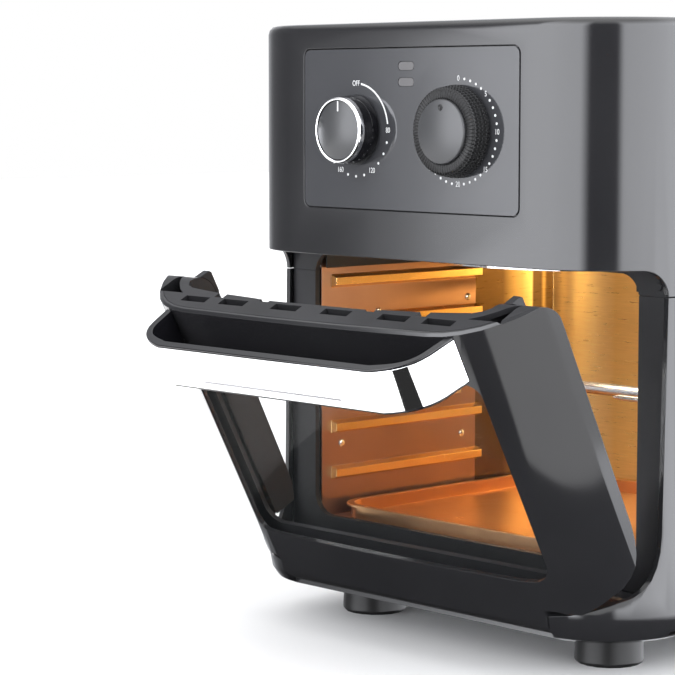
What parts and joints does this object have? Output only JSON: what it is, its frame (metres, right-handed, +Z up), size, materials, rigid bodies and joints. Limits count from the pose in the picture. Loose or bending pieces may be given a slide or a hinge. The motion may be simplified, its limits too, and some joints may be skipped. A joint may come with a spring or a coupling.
{
  "type": "air fryer",
  "caption": "Upright oven-type air fryer with a bottom-hinged glass door, chrome bow handle, two control knobs, convection fan, rotisserie spit and drip tray.",
  "frame": {"origin": "middle of the underside of the whole object with its door at the stored angle", "axes": "+X to the user's right, +Y from the door to the back, +Z up"},
  "size_m": [0.3324, 0.4494, 0.385],
  "materials": {
    "shell_plastic": "satin black moulded housing",
    "black_plastic": "fine-textured black plastic",
    "gloss_black": "polished black",
    "knob_black": "fluted soft black",
    "panel_gloss": "dark grey mirror-gloss panel",
    "chrome": "polished chrome plating",
    "cavity_steel": "coated pressed steel",
    "bright_steel": "plain steel",
    "dark_steel": "heat-darkened steel",
    "rubber": "black rubber",
    "lens": "unlit lamp lens",
    "glass": "clear toughened glass"
  },
  "bodies": {
    "cabinet": {"top_housing": "shell_plastic", "lower_shell": "shell_plastic", "base_plate": "black_plastic", "rear_cover": "black_plastic", "front_frame": "black_plastic", "visor_plate": "black_plastic", "inner_shroud": "black_plastic", "door_switch": "black_plastic", "control_panel": "panel_gloss", "cavity_liner": "cavity_steel", "drip_tray": "cavity_steel", "motor_bracket": "bright_steel", "fan_motor": "bright_steel", "spit_motor": "bright_steel", "spit_rest": "bright_steel", "thermostat_unit": "bright_steel", "timer_unit": "bright_steel", "element_guard": "bright_steel", "rear_cover_screw_1": "bright_steel", "rear_cover_screw_2": "bright_steel", "rear_cover_screw_3": "bright_steel", "rear_cover_screw_4": "bright_steel", "heating_element": "dark_steel", "foot_front_left": "rubber", "foot_front_right": "rubber", "foot_rear_left": "rubber", "foot_rear_right": "rubber", "cord_gland": "rubber", "lamp_lens_upper": "lens", "lamp_lens_lower": "lens", "cavity_lamp_lens": "glass"},
    "door": {"door_shell": "shell_plastic", "door_inner_frame": "black_plastic", "door_outer_glass": "glass", "door_inner_glass": "glass", "handle_band": "chrome", "handle_liner": "gloss_black", "latch_hook_left": "black_plastic", "latch_hook_right": "black_plastic", "hinge_pin_left": "bright_steel", "hinge_pin_right": "bright_steel"},
    "thermostat_control": {"thermostat_knob": "gloss_black", "thermostat_knob_ring": "chrome", "thermostat_shaft": "bright_steel"},
    "timer_control": {"timer_knob": "knob_black", "timer_knob_cap": "knob_black", "timer_shaft": "bright_steel"},
    "fan": {"fan_shaft": "bright_steel", "convection_fan": "dark_steel", "cooling_fan": "black_plastic"},
    "spit": {"spit_rod": "bright_steel", "spit_fork_left": "bright_steel", "spit_fork_right": "bright_steel", "spit_screw_left": "bright_steel", "spit_screw_right": "bright_steel"},
    "plunger": {"switch_plunger": "black_plastic"}
  },
  "joints": [
    {"name": "door_hinge", "type": "hinge", "parent": "cabinet", "child": "door", "pos_m": [0, -0.09053, 0.0404], "axis": [1, 0, 0], "range_deg": [-27.7, 47.3]},
    {"name": "thermostat_turn", "type": "hinge", "parent": "cabinet", "child": "thermostat_control", "pos_m": [-0.044, -0.10533, 0.3195], "axis": [0, 1, 0], "range_deg": [0, 270]},
    {"name": "timer_turn", "type": "hinge", "parent": "cabinet", "child": "timer_control", "pos_m": [0.044, -0.10533, 0.3195], "axis": [0, 1, 0], "range_deg": [0, 270]},
    {"name": "fan_spin", "type": "hinge", "parent": "cabinet", "child": "fan", "pos_m": [0, 0.06467, 0.25], "axis": [0, 0, 1], "continuous": true},
    {"name": "spit_turn", "type": "hinge", "parent": "cabinet", "child": "spit", "pos_m": [0, 0.06267, 0.15], "axis": [1, 0, 0], "continuous": true},
    {"name": "plunger_press", "type": "slide", "parent": "cabinet", "child": "plunger", "axis": [0, 1, 0], "range_m": [0, 0.0025], "stiffness_N_per_m": 150}
  ]
}
